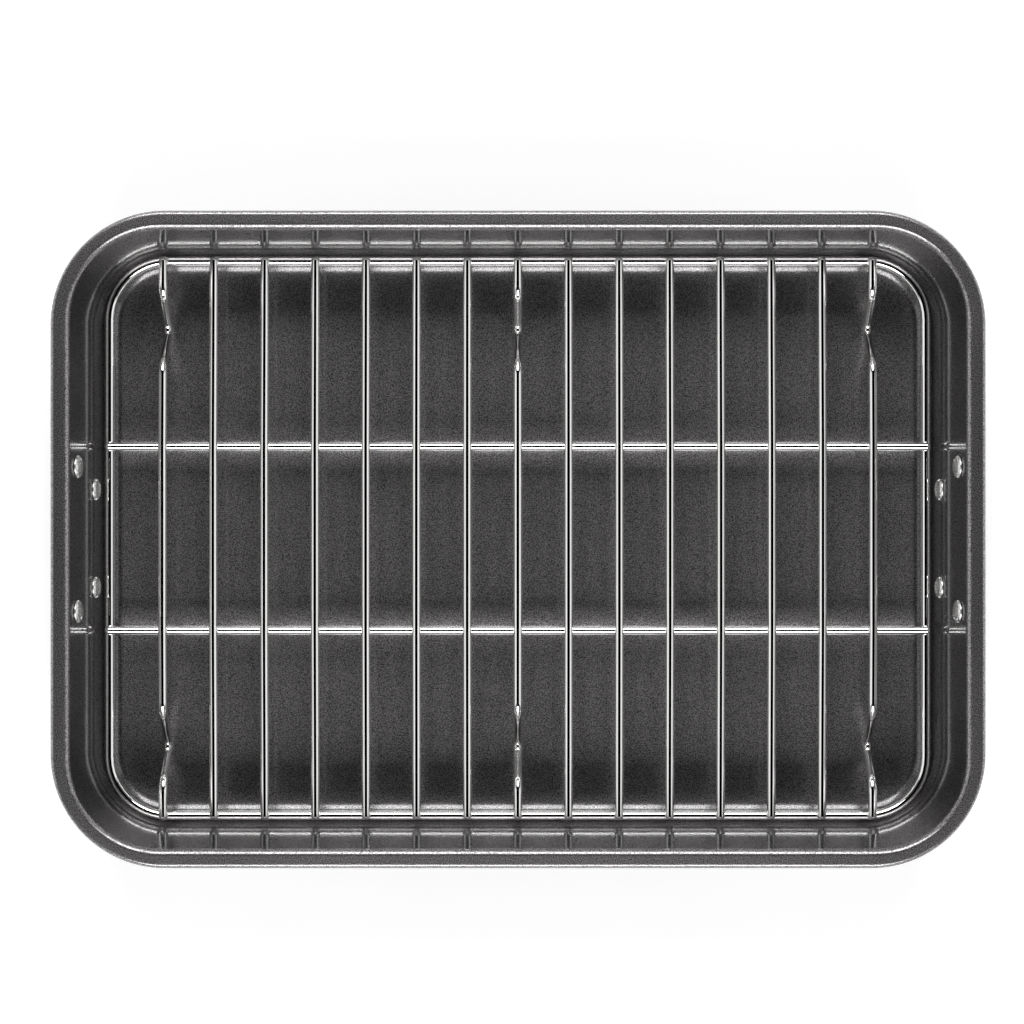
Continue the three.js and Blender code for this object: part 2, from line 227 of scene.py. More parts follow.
# Painted shade: faces tilted off level and lower than the fillet's top are darkened, standing in for the
# shade in the crease between floor and wall.
fillet_shade_by_facing = node(
    tree,
    "ShaderNodeMapRange",
    {"Value": level, "From Min": 0.97, "From Max": 0.995, "To Min": fillet_shade_tone, "To Max": 1.0},
).outputs["Result"]
height = node(tree, "ShaderNodeSeparateXYZ", {0: place}).outputs["Z"]
fillet_shade_by_height = node(
    tree,
    "ShaderNodeMapRange",
    {
        "Value": height,
        "From Min": floor_fillet / 2,
        "From Max": floor_fillet,
        "To Min": fillet_shade_tone,
        "To Max": 1.0,
    },
).outputs["Result"]
fillet_shade_level = node(tree, "ShaderNodeMath", {0: fillet_shade_by_facing, 1: fillet_shade_by_height}, operation="MAXIMUM").outputs[0]
spray_level = node(tree, "ShaderNodeMath", {0: mottle_level, 1: thin_level}, operation="MULTIPLY")
coat_tone_and_shade = node(
    tree, "ShaderNodeMath", {0: spray_level.outputs[0], 1: fillet_shade_level}, operation="MULTIPLY"
).outputs[0]
# The base colour: flake, random mottle and the thinner outside coat, times the painted shade in the fillet.
coat_colour_and_shade = node(tree, "ShaderNodeVectorMath", {0: flecked, 3: coat_tone_and_shade}, operation="SCALE").outputs[0]
flake_facets = node(tree, "ShaderNodeBump", {"Height": flake, "Strength": 0.4, "Distance": fleck_depth})
coat = node(
    tree,
    "ShaderNodeBsdfPrincipled",
    {
        "Base Color": coat_colour_and_shade,
        "Metallic": 1.0,
        "Roughness": 0.33,
        "Specular Tint": (0.15, 0.15, 0.15, 1),
        "Normal": flake_facets.outputs["Normal"],
        "Coat Weight": 1.0,
        "Coat Roughness": 0.11,
        "Coat IOR": 1.5,
    },
)
node(tree, "ShaderNodeOutputMaterial", {"Surface": coat.outputs["BSDF"]})
new_piece("coated_pan_shell", pan_mesh, coating, "pan", "nonstick_steel", "pan_shell")

# Rivets: eight solid aluminium rivets, four through each end wall, which hold the handle brackets.
# Their low domed heads are set inside the pan and their tails are hammered over outside.
rivet_head = 10.8 * mm
rivet_head_height = 2.4 * mm
rivet_shank = 5 * mm
rivet_tail = 8.4 * mm
rivet_tail_height = 1.8 * mm
rivet_edge = 0.25 * mm
seat_gap = 0.3 * mm
bracket_sheet = 1.2 * mm
rivet_rows = ((67.8 / 2 * mm, 56 * mm), (47 / 2 * mm, 25 * mm))

head_seat = -sheet - seat_gap
tail_seat = seat_gap + bracket_sheet + seat_gap
head_radius = rivet_head / 2
rivet_profile = []
dome_steps = 16
for step in range(dome_steps + 1):
    angle = math.pi / 2 * step / dome_steps
    rivet_profile.append((head_radius * math.sin(angle), head_seat - rivet_head_height * math.cos(angle)))
tail_end = tail_seat + rivet_tail_height
rivet_profile += [
    (head_radius - rivet_edge, head_seat),
    (rivet_shank / 2, head_seat),
    (rivet_shank / 2, tail_seat),
    (rivet_tail / 2 - rivet_edge, tail_seat),
    (rivet_tail / 2, tail_seat + rivet_edge),
    (rivet_tail / 2, tail_end - rivet_tail_height / 2),
    (rivet_tail / 2 - rivet_edge, tail_end - rivet_tail_height / 4),
    (rivet_tail / 2 - rivet_tail_height / 2, tail_end - rivet_edge / 3),
    (rivet_tail / 4, tail_end),
]
blank = bmesh.new()
rivet_sides = 32
rings = []
for radius, along in rivet_profile[1:]:
    turns = [2 * math.pi * k / rivet_sides for k in range(rivet_sides)]
    rings.append([blank.verts.new((along, radius * math.cos(a), radius * math.sin(a))) for a in turns])
for lower, upper in zip(rings, rings[1:]):
    for k, vert in enumerate(lower):
        after = (k + 1) % rivet_sides
        blank.faces.new((vert, upper[k], upper[after], lower[after]))
crown = blank.verts.new((rivet_profile[0][1], 0, 0))
for k, vert in enumerate(rings[0]):
    blank.faces.new((crown, vert, rings[0][(k + 1) % rivet_sides]))
blank.faces.new(rings[-1][::-1])
bmesh.ops.recalc_face_normals(blank, faces=blank.faces)
for face in blank.faces:
    face.smooth = True
rivet_mesh = bpy.data.meshes.new("rivet_blank")
blank.to_mesh(rivet_mesh)
blank.free()
rivet_blank = bpy.data.objects.new("rivet_blank", rivet_mesh)
bpy.context.scene.collection.objects.link(rivet_blank)

rivet_places = bpy.data.meshes.new("rivet_places")
places, turns = [], []
for end in (1, -1):
    for y, z in rivet_rows:
        for hand in (1, -1):
            places.append((end * (pan_length / 2 - outer_wall(z)), hand * y, z))
            turns.append(Euler((0, draft, 0 if end > 0 else math.pi), "XYZ"))
rivet_places.from_pydata(places, [], [])
facing = rivet_places.attributes.new("facing", "FLOAT_VECTOR", "POINT")
facing.data.foreach_set("vector", [angle for turn in turns for angle in turn])


def new_shape(name, **sizes):
    """An empty geometry tree with named inputs for its sizes, and its group input node."""
    shape = bpy.data.node_groups.new(name, "GeometryNodeTree")
    shape.interface.new_socket("Geometry", in_out="OUTPUT", socket_type="NodeSocketGeometry")
    shape.interface.new_socket("Geometry", in_out="INPUT", socket_type="NodeSocketGeometry")
    for label, kind in sizes.items():
        shape.interface.new_socket(label.replace("_", " "), in_out="INPUT", socket_type="NodeSocket" + kind)
    return shape, node(shape, "NodeGroupInput").outputs


def settle(name, source, shape, **sizes):
    """Runs a geometry tree on a source mesh and gives the result as a plain mesh."""
    maker = bpy.data.objects.new(name, source)
    bpy.context.scene.collection.objects.link(maker)
    modifier = maker.modifiers.new("shape", "NODES")
    modifier.node_group = shape
    for item in shape.interface.items_tree:
        label = item.name.replace(" ", "_")
        if item.in_out == "INPUT" and label in sizes:
            modifier[item.identifier] = sizes[label]
    graph = bpy.context.evaluated_depsgraph_get()
    made = bpy.data.meshes.new_from_object(maker.evaluated_get(graph), depsgraph=graph)
    made.name = name
    bpy.data.objects.remove(maker)
    return made


# Bright aluminium wire, cold-headed: smooth, with small dents where the set struck it.
dent_size = 3.6 * mm
dent_depth = 0.2 * mm
scuff_size = 0.5 * mm
rivet_metal, tree = new_material("headed_aluminium")
place = node(tree, "ShaderNodeTexCoord").outputs["Object"]
dents = node(
    tree, "ShaderNodeTexNoise", {"Vector": place, "Scale": 1 / dent_size, "Detail": 0.5}
).outputs["Fac"]
scuffs = node(
    tree, "ShaderNodeTexNoise", {"Vector": place, "Scale": 1 / scuff_size, "Detail": 3.0}
).outputs["Fac"]
rough = node(
    tree,
    "ShaderNodeMapRange",
    {"Value": scuffs, "From Min": 0.3, "From Max": 0.7, "To Min": 0.22, "To Max": 0.36},
).outputs["Result"]
tint = node(tree, "ShaderNodeMix", {0: scuffs, 6: srgb("#dddddb"), 7: srgb("#fafaf8")}, data_type="RGBA")
struck = node(tree, "ShaderNodeBump", {"Height": dents, "Strength": 0.3, "Distance": dent_depth})
metal = node(
    tree,
    "ShaderNodeBsdfPrincipled",
    {
        "Base Color": tint.outputs[2],
        "Metallic": 1.0,
        "Roughness": rough,
        "Normal": struck.outputs["Normal"],
    },
)
node(tree, "ShaderNodeOutputMaterial", {"Surface": metal.outputs["BSDF"]})

shape, sizes = new_shape("rivet_set", Rivet="Object", Seed="Int", Finish="Material")
facing = node(shape, "GeometryNodeInputNamedAttribute", {"Name": "facing"}, data_type="FLOAT_VECTOR")
spin = node(shape, "FunctionNodeRandomValue", {"Min": 0.0, "Max": 6.283, "Seed": sizes["Seed"]})
rolled = node(shape, "ShaderNodeCombineXYZ", {"X": spin.outputs[1]})
one = node(shape, "GeometryNodeObjectInfo", {"Object": sizes["Rivet"], "As Instance": True})
placed = node(
    shape,
    "GeometryNodeInstanceOnPoints",
    {
        "Points": sizes["Geometry"],
        "Instance": one.outputs["Geometry"],
        "Rotation": facing.outputs["Attribute"],
    },
)
rolled_on = node(
    shape, "GeometryNodeRotateInstances", {"Instances": placed.outputs[0], "Rotation": rolled.outputs[0]}
)
real = node(shape, "GeometryNodeRealizeInstances", {"Geometry": rolled_on.outputs[0]})
done = node(shape, "GeometryNodeSetMaterial", {"Geometry": real.outputs[0], "Material": sizes["Finish"]})
node(shape, "NodeGroupOutput", {"Geometry": done.outputs[0]})
rivets = settle("rivets", rivet_places, shape, Rivet=rivet_blank, Seed=4, Finish=rivet_metal)
bpy.data.objects.remove(rivet_blank)
bracket_places = [f"{end}_{side}" for end in ("left", "right") for side in ("front", "rear")]
rivet_nodes = [f"{where}_{row}_rivet" for where in bracket_places for row in ("upper", "lower")]
new_piece("handle_rivets", rivets, rivet_metal, "pan", "rivet_metal", *rivet_nodes)

# Saddle brackets: four straps stamped from plated steel strip, two outside each end wall.
# Each is humped over one foot of the handle and held by an upper and a lower rivet.
bail_wire = 5.5 * mm
pivot_z = 46.5 * mm
pivot_play = 0.3 * mm
bracket_width = 16 * mm
bracket_bend = 1 * mm
bracket_deburr = 0.2 * mm
sharp_angle = math.radians(50)
slot_steps = 400
pivot_standoff = bail_wire / 2 + pivot_play


def up_wall(z):
    """Distance up the slanted wall from the handle's pivot."""
    return (z - pivot_z) / math.cos(draft)


def bracket_reach(y_rows, z, radius):
    """The strap's lowest and highest Y at a height: a slanted slot with round ends."""
    (upper_y, upper_z), (lower_y, lower_z) = y_rows
    reach = []
    for step in range(slot_steps + 1):
        share = step / slot_steps
        y = lower_y + (upper_y - lower_y) * share
        rise = z - lower_z - (upper_z - lower_z) * share
        if abs(rise) <= radius:
            half = math.sqrt(radius**2 - rise**2)
            reach += [y - half, y + half]
    return min(reach), max(reach)


def quarter_turn(steps):
    """Angles from nothing to a quarter turn, in even steps."""
    return [math.pi / 2 * k / steps for k in range(steps + 1)]


middle = seat_gap + bracket_sheet / 2
hump = pivot_standoff + bracket_sheet / 2
turn_radius = bracket_bend + bracket_sheet / 2
turn_x = seat_gap + bracket_sheet + bracket_bend
turn_z = hump + turn_radius
half_saddle = [
    (turn_x - turn_radius * math.cos(a), turn_z - turn_radius * math.sin(a)) for a in quarter_turn(6)
]
half_saddle += [(pivot_standoff + hump * math.sin(a), hump * math.cos(a)) for a in quarter_turn(10)]
strap_rows = [(y, up_wall(z)) for y, z in rivet_rows]
strap_half = bracket_width / 2
strap_top, strap_low = strap_rows[0][1], strap_rows[1][1]
flat_top = [strap_top + strap_half * math.cos(a) for a in quarter_turn(12)]
flat_low = [(strap_low + turn_z) * k / 6 - turn_z for k in range(1, 6)]
flat_low += [strap_low - strap_half * math.sin(a) for a in quarter_turn(12)]
saddle = [(middle, z) for z in flat_top if z > turn_z + bracket_bend / 3]
saddle += half_saddle
saddle += [(x, -z) for x, z in reversed(half_saddle[:-1])]
saddle += [(middle, z) for z in flat_low]

straps = bmesh.new()
columns = 9
blunt = 0.02 * mm
wall_at_pivot = (pan_length / 2 - outer_wall(pivot_z), 0, pivot_z)
wall = Matrix.Translation(wall_at_pivot) @ Matrix.Rotation(draft, 4, "Y")
for end in (1, -1):
    for hand in (1, -1):
        onto = Matrix.Rotation(0 if end > 0 else math.pi, 4, "Z") @ wall
        rows = []
        for x, z in saddle:
            within = min(max(z, strap_low - strap_half + blunt), strap_top + strap_half - blunt)
            near, far = bracket_reach(strap_rows, within, strap_half)
            ys = [near + (far - near) * k / (columns - 1) for k in range(columns)]
            rows.append([straps.verts.new(onto @ Vector((x, hand * y, z))) for y in ys])
        for upper, lower in zip(rows, rows[1:]):
            for k in range(columns - 1):
                corners = (upper[k], upper[k + 1], lower[k + 1], lower[k])
                straps.faces.new(corners if hand < 0 else corners[::-1])
for face in straps.faces:
    face.smooth = True
strap_mesh = bpy.data.meshes.new("saddle_bracket_mesh")
straps.to_mesh(strap_mesh)
straps.free()

# Bright zinc plate on cold-rolled strip: satin, with fine rolling lines along the strap,
# which are drawn a few times as wide as real ones so that they show, and a faint bloom.
line_spacing = 0.35 * mm
line_length = 25 * line_spacing
line_depth = 0.02 * mm
bloom_size = 7 * mm
plated, tree = new_material("zinc_plated_strip")
place = node(tree, "ShaderNodeTexCoord").outputs["Object"]
stretched = node(
    tree,
    "ShaderNodeMapping",
    {"Vector": place, "Scale": (1 / line_spacing, 1 / line_spacing, 1 / line_length)},
).outputs["Vector"]
lines = node(tree, "ShaderNodeTexNoise", {"Vector": stretched, "Scale": 1.0, "Detail": 3.0}).outputs["Fac"]
bloom = node(
    tree, "ShaderNodeTexNoise", {"Vector": place, "Scale": 1 / bloom_size, "Detail": 2.0}
).outputs["Fac"]
tint = node(tree, "ShaderNodeMix", {0: bloom, 6: srgb("#b3b6b8"), 7: srgb("#dcdedf")}, data_type="RGBA")
rough = node(
    tree,
    "ShaderNodeMapRange",
    {"Value": lines, "From Min": 0.3, "From Max": 0.7, "To Min": 0.2, "To Max": 0.36},
).outputs["Result"]
grain = node(tree, "ShaderNodeBump", {"Height": lines, "Strength": 0.15, "Distance": line_depth})
metal = node(
    tree,
    "ShaderNodeBsdfPrincipled",
    {
        "Base Color": tint.outputs[2],
        "Metallic": 1.0,
        "Roughness": rough,
        "Normal": grain.outputs["Normal"],
    },
)
node(tree, "ShaderNodeOutputMaterial", {"Surface": metal.outputs["BSDF"]})
bracket_nodes = [f"{where}_bracket" for where in bracket_places]
brackets = new_piece("saddle_brackets", strap_mesh, plated, "pan", "plated_bracket", *bracket_nodes)
thick = brackets.modifiers.new("sheet", "SOLIDIFY")
thick.thickness = bracket_sheet
thick.offset = 0
edge = brackets.modifiers.new("deburred_edge", "BEVEL")
edge.width = bracket_deburr
edge.segments = 2
edge.limit_method = "ANGLE"
edge.angle_limit = sharp_angle

# Handles: a bail bent from thick chromed wire at each end of the pan.
# Its feet are turned in under the brackets' humps, and it hangs against the wall until it is lifted.
bail_arm = 98 / 2 * mm
bail_foot_bend = 7 * mm
bail_grip_bend = 14 * mm
bail_foot_past = 2 * mm
bail_clearance = 4 * mm
sheared_length = 1.4 * mm
# The shears nip a wire's end to a blunt point: (share of the nipped length, share of the diameter).
sheared_end = ((0, 0.3), (0.06, 0.36), (0.94, 0.97), (1.06, 1), (1.3, 1), (1.6, 1))

pivot = wall @ Vector((pivot_standoff, 0, 0))
share = (pivot_z - rivet_rows[1][1]) / (rivet_rows[0][1] - rivet_rows[1][1])
bracket_y = rivet_rows[1][0] + (rivet_rows[0][0] - rivet_rows[1][0]) * share
slant = math.atan2(rivet_rows[0][0] - rivet_rows[1][0], rivet_rows[0][1] - rivet_rows[1][1])
foot_end = bracket_y - bracket_width / 2 / math.cos(slant) - bail_foot_past
grip_z = bail_clearance + bail_wire / 2


def wire_path(name, corners, closed=False):
    """A wire's corner points as a chain of edges. A corner is (place, bend radius)."""
    points = [(Vector(place), bend, 1.0) for place, bend in corners]
    if not closed:
        for end, inward in ((0, 1), (-1, -2)):
            tip, shoulder = points[end][0], points[inward][0]
            along = (shoulder - tip).normalized() * sheared_length
            steps = [(tip + along * share, 0, taper) for share, taper in sheared_end]
            points = steps + points[1:] if end == 0 else points[:-1] + steps[::-1]
    path = bpy.data.meshes.new(name)
    links = [(k, k + 1) for k in range(len(points) - 1)] + ([(len(points) - 1, 0)] if closed else [])
    path.from_pydata([place for place, _, _ in points], links, [])
    bends = path.attributes.new("bend", "FLOAT", "POINT")
    bends.data.foreach_set("value", [bend for _, bend, _ in points])
    tapers = path.attributes.new("taper", "FLOAT", "POINT")
    tapers.data.foreach_set("value", [taper for _, _, taper in points])
    return path


def drawn_wire(shape, path, diameter):
    """Adds the nodes that bend a path at its corners and draw a round wire along it."""
    line = node(shape, "GeometryNodeMeshToCurve", {"Mesh": path})
    bend = node(shape, "GeometryNodeInputNamedAttribute", {"Name": "bend"}, data_type="FLOAT")
    bent = node(
        shape,
        "GeometryNodeFilletCurve",
        {"Curve": line.outputs[0], "Radius": bend.outputs["Attribute"], "Count": 12, "Limit Radius": True},
        mode="POLY",
    )
    taper = node(shape, "GeometryNodeInputNamedAttribute", {"Name": "taper"}, data_type="FLOAT")
    half = node(shape, "ShaderNodeMath", {0: diameter, 1: 0.5}, operation="MULTIPLY")
    section = node(shape, "GeometryNodeCurvePrimitiveCircle", {"Resolution": 24, "Radius": half.outputs[0]})
    drawn = node(
        shape,
        "GeometryNodeCurveToMesh",
        {
            "Curve": bent.outputs[0],
            "Profile Curve": section.outputs[0],
            "Scale": taper.outputs["Attribute"],
            "Fill Caps": True,
        },
    )
    return node(shape, "GeometryNodeSetShadeSmooth", {"Geometry": drawn.outputs[0]}).outputs[0]


# Chrome plate on drawn steel wire: a mirror, with the faint long ripple that drawing leaves.
ripple_length = 18 * mm
ripple_depth = 0.2 * mm
chrome, tree = new_material("chromed_wire")
place = node(tree, "ShaderNodeTexCoord").outputs["Object"]
ripple = node(
    tree, "ShaderNodeTexNoise", {"Vector": place, "Scale": 1 / ripple_length, "Detail": 3.0}
).outputs["Fac"]
haze = node(
    tree,
    "ShaderNodeMapRange",
    {"Value": ripple, "From Min": 0.3, "From Max": 0.7, "To Min": 0.02, "To Max": 0.06},
).outputs["Result"]
tint = node(tree, "ShaderNodeMix", {0: ripple, 6: srgb("#efefed"), 7: srgb("#fafaf9")}, data_type="RGBA")
wave = node(tree, "ShaderNodeBump", {"Height": ripple, "Strength": 0.1, "Distance": ripple_depth})
metal = node(
    tree,
    "ShaderNodeBsdfPrincipled",
    {
        "Base Color": tint.outputs[2],
        "Metallic": 1.0,
        "Roughness": haze,
        "Normal": wave.outputs["Normal"],
    },
)
node(tree, "ShaderNodeOutputMaterial", {"Surface": metal.outputs["BSDF"]})

shape, sizes = new_shape("bent_wire", Wire_Diameter="Float", Finish="Material")
wire = drawn_wire(shape, sizes["Geometry"], sizes["Wire Diameter"])
real = node(shape, "GeometryNodeRealizeInstances", {"Geometry": wire})
done = node(shape, "GeometryNodeSetMaterial", {"Geometry": real.outputs[0], "Material": sizes["Finish"]})
node(shape, "NodeGroupOutput", {"Geometry": done.outputs[0]})
bent_wire = shape

for end, side in ((-1, "left"), (1, "right")):
    x = end * pivot.x
    bail_corners = [
        ((x, -foot_end, pivot.z), 0),
        ((x, -bail_arm, pivot.z), bail_foot_bend),
        ((x, -bail_arm, grip_z), bail_grip_bend),
        ((x, bail_arm, grip_z), bail_grip_bend),
        ((x, bail_arm, pivot.z), bail_foot_bend),
        ((x, foot_end, pivot.z), 0),
    ]
    bail_path = wire_path("bail_path", bail_corners)
    bail = settle(f"{side}_bail", bail_path, bent_wire, Wire_Diameter=bail_wire, Finish=chrome)
    new_piece(f"{side}_wire_handle", bail, chrome, f"{side}_handle", "chrome_wire", f"{side}_handle_bail")

# Rack frame: one closed loop of thick chromed wire with round corners, butt-welded.
# It carries every other wire of the rack and clears the rivet heads.
rack_height = 25 * mm
rack_play = 0.3 * mm
rack_side_gap = 1.9 * mm
frame_wire = 4.5 * mm
long_wire = 4.3 * mm
cross_wire = 4.3 * mm
weld_sink = 1 * mm

rack_floor = sheet + seat_gap
cross_z = rack_floor + rack_height - cross_wire / 2
long_z = cross_z - (cross_wire + long_wire) / 2 + weld_sink
frame_z = long_z - (long_wire + frame_wire) / 2 + weld_sink
frame_inset = inner_wall(frame_z) + seat_gap + rivet_head_height + rack_play + frame_wire / 2
frame_x = pan_length / 2 - frame_inset
frame_y = pan_width / 2 - inner_wall(frame_z) - rack_side_gap - frame_wire / 2
frame_corner = rim_corner - corner_tightening * frame_inset
loop = [
    ((sx * frame_x, sy * frame_y, frame_z), frame_corner) for sx, sy in ((1, 1), (-1, 1), (-1, -1), (1, -1))
]
frame_path = wire_path("frame_path", loop, closed=True)
frame_loop = settle("frame_loop", frame_path, bent_wire, Wire_Diameter=frame_wire, Finish=chrome)
new_piece("rack_frame_loop", frame_loop, chrome, "rack", "chrome_wire", "rack_frame")

# Long wires: two straight chromed wires, laid on the frame's short sides and welded there.
# They stand a third of the way out to the long sides and carry the cross wires at the middle.
wire_end_trim = 0.5 * mm
long_share = 0.331
long_y = frame_y * long_share
long_end = frame_x + frame_wire / 2 - wire_end_trim
shape, sizes = new_shape(
    "wire_row", Wire_Diameter="Float", Wire_Count="Int", Wire_Pitch="Vector", First_Place="Vector",
    Skip_Every="Int", Keep_Skipped="Bool", Sway="Float", Seed="Int", Finish="Material",
)
wire = drawn_wire(shape, sizes["Geometry"], sizes["Wire Diameter"])
row = node(
    shape,
    "GeometryNodeMeshLine",
    {"Count": sizes["Wire Count"], "Start Location": sizes["First Place"], "Offset": sizes["Wire Pitch"]},
)
number = node(shape, "GeometryNodeInputIndex")
place_in_group = node(
    shape, "FunctionNodeIntegerMath", {0: number.outputs[0], 1: sizes["Skip Every"]}, operation="MODULO"
)
skipped = node(
    shape, "FunctionNodeCompare", {2: place_in_group.outputs[0], 3: 0}, data_type="INT", operation="EQUAL"
)
kept = node(
    shape, "FunctionNodeBooleanMath", {0: skipped.outputs[0], 1: sizes["Keep Skipped"]}, operation="XNOR"
)
drift = node(
    shape,
    "FunctionNodeRandomValue",
    {"Min": (-1, -1, 0), "Max": (1, 1, 0), "Seed": sizes["Seed"]},
    data_type="FLOAT_VECTOR",
)
drift_length = node(
    shape, "ShaderNodeVectorMath", {0: drift.outputs[0], 3: sizes["Sway"]}, operation="SCALE"
)
drifted = node(
    shape, "GeometryNodeSetPosition", {"Geometry": row.outputs[0], "Offset": drift_length.outputs[0]}
)
placed = node(
    shape,
    "GeometryNodeInstanceOnPoints",
    {"Points": drifted.outputs[0], "Selection": kept.outputs[0], "Instance": wire},
)
real = node(shape, "GeometryNodeRealizeInstances", {"Geometry": placed.outputs[0]})
done = node(shape, "GeometryNodeSetMaterial", {"Geometry": real.outputs[0], "Material": sizes["Finish"]})
node(shape, "NodeGroupOutput", {"Geometry": done.outputs[0]})
wire_row = shape

long_path = wire_path("long_path", [((-long_end, 0, long_z), 0), ((long_end, 0, long_z), 0)])
long_wires = settle(
    "long_wires", long_path, wire_row, Wire_Diameter=long_wire, Wire_Count=2, Wire_Pitch=(0, 2 * long_y, 0),
    First_Place=(0, -long_y, 0), Skip_Every=1, Keep_Skipped=True, Sway=0.0, Seed=1, Finish=chrome,
)
long_nodes = [f"rack_{side}_long_wire" for side in ("front", "rear")]
new_piece("rack_long_wires", long_wires, chrome, "rack", "chrome_wire", *long_nodes)

# Cross wires: twelve chromed wires over the long wires, their ends bent down on to the frame.
# The food lies on these, and every crossing is spot-welded.
cross_pitch = 24.4 * mm
cross_places = 7
cross_bend = 60 * mm
cross_sway = 0.12 * mm
cross_end_z = frame_z + (frame_wire + cross_wire) / 2 - weld_sink
cross_slope = (cross_z - cross_end_z) / (frame_y - long_y)
cross_end = frame_y + frame_wire / 2 - wire_end_trim


def cross_height(y):
    """Height of a cross wire's centre line on its slope from the long wire to the frame."""
    return cross_z - cross_slope * (y - long_y)


def cross_path(name, half):
    """A cross wire's path from half of its corners, which run from the end to the long wire."""
    far = [((0, -y, z), bend) for y, z, bend in half]
    near = [((0, y, z), bend) for y, z, bend in reversed(half)]
    return wire_path(name, far + near)


plain_half = [(cross_end, cross_height(cross_end), 0), (long_y, cross_z, cross_bend)]
row_sizes = dict(
    Wire_Diameter=cross_wire, Wire_Count=2 * cross_places + 1, Wire_Pitch=(cross_pitch, 0, 0),
    First_Place=(-cross_places * cross_pitch, 0, 0), Skip_Every=cross_places, Finish=chrome,
)
plain_path = cross_path("cross_path", plain_half)
cross_wires = settle(
    "cross_wires", plain_path, wire_row, Keep_Skipped=False, Sway=cross_sway, Seed=7, **row_sizes
)
cross_nodes = [f"rack_cross_wire_{number:02d}" for number in (2, 3, 4, 5, 6, 7, 9, 10, 11, 12, 13, 14)]
new_piece("rack_cross_wires", cross_wires, chrome, "rack", "chrome_wire", *cross_nodes)

# Leg wires: the first, middle and last cross wires, each with a V bent into both ends.
# The points of the Vs are the rack's six feet and stand on the pan's floor.
leg_inset = 32.4 * mm
leg_angle = math.radians(38.5)
leg_tip_bend = 5.4 * mm
leg_top_bend = 10 * mm
leg_y = frame_y - leg_inset
tip_z = rack_floor + cross_wire / 2 - leg_tip_bend * (1 / math.sin(leg_angle) - 1)
spread = (cross_height(leg_y) - tip_z) * math.tan(leg_angle)
outer_y = leg_y + spread / (1 + cross_slope * math.tan(leg_angle))
inner_y = leg_y - spread / (1 - cross_slope * math.tan(leg_angle))
leg_half = [
    (cross_end, cross_height(cross_end), 0),
    (outer_y, cross_height(outer_y), leg_top_bend),
    (leg_y, tip_z, leg_tip_bend),
    (inner_y, cross_height(inner_y), leg_top_bend),
    (long_y, cross_z, cross_bend),
]
leg_path = cross_path("leg_path", leg_half)
leg_wires = settle("leg_wires", leg_path, wire_row, Keep_Skipped=True, Sway=0.0, Seed=1, **row_sizes)
leg_nodes = [f"rack_leg_wire_{place}" for place in ("left", "middle", "right")]
new_piece("rack_leg_wires", leg_wires, chrome, "rack", "chrome_wire", *leg_nodes)

# Welds: a little metal squeezed out round each crossing when the wires were pressed and fused.
# They are plated over with the rack, so they shine as the wires do.
weld_spread = 2.2 * mm
weld_rise = 0.75 * mm
end_weld_z = (cross_end_z + frame_z) / 2 + weld_rise / 4
weld_places = []
for place in range(-cross_places, cross_places + 1):
    for side in (-1, 1):
        weld_places.append((place * cross_pitch, side * long_y, (cross_z + long_z) / 2))
        weld_places.append((place * cross_pitch, side * frame_y, end_weld_z))
for end in (-1, 1):
    for side in (-1, 1):
        weld_places.append((end * frame_x, side * long_y, (long_z + frame_z) / 2))
weld_spots = bpy.data.meshes.new("weld_spots")
weld_spots.from_pydata(weld_places, [], [])
shape, sizes = new_shape("weld_set", Spread="Float", Rise="Float", Seed="Int", Finish="Material")
bead = node(shape, "GeometryNodeMeshUVSphere", {"Segments": 20, "Rings": 10, "Radius": 1.0})
lean = node(
    shape, "FunctionNodeRandomValue", {"Min": 0.88, "Max": 1.06, "Seed": sizes["Seed"]}, data_type="FLOAT"
)
across = node(shape, "ShaderNodeMath", {0: sizes["Spread"], 1: lean.outputs[1]}, operation="MULTIPLY")
squash = node(
    shape, "ShaderNodeCombineXYZ", {"X": across.outputs[0], "Y": across.outputs[0], "Z": sizes["Rise"]}
)
placed = node(
    shape,
    "GeometryNodeInstanceOnPoints",
    {"Points": sizes["Geometry"], "Instance": bead.outputs[0], "Scale": squash.outputs[0]},
)
real = node(shape, "GeometryNodeRealizeInstances", {"Geometry": placed.outputs[0]})
smooth = node(shape, "GeometryNodeSetShadeSmooth", {"Geometry": real.outputs[0]})
done = node(shape, "GeometryNodeSetMaterial", {"Geometry": smooth.outputs[0], "Material": sizes["Finish"]})
node(shape, "NodeGroupOutput", {"Geometry": done.outputs[0]})
welds = settle("welds", weld_spots, shape, Spread=weld_spread, Rise=weld_rise, Seed=3, Finish=chrome)
weld_beads = bpy.data.objects.new("rack_weld_beads", welds)
bpy.context.scene.collection.objects.link(weld_beads)
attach(weld_beads, "rack")

# Studio: a pan on white paper in a white tent, whose roof is open and dark over the camera.
# A white strip hangs at each end, a white skirt goes round the foot, and a long softbox
# stands over each long side.
sweep_reach = 6.0
sweep_drop = 0.2 * mm
floor_mesh = bpy.data.meshes.new("studio_floor_mesh")
sweep_corners = ((-1, -1), (1, -1), (1, 1), (-1, 1))
sweep = [(sx * sweep_reach, sy * sweep_reach, -sweep_drop) for sx, sy in sweep_corners]
floor_mesh.from_pydata(sweep, [], [(0, 1, 2, 3)])
studio_floor = bpy.data.objects.new("studio_floor", floor_mesh)
bpy.context.scene.collection.objects.link(studio_floor)

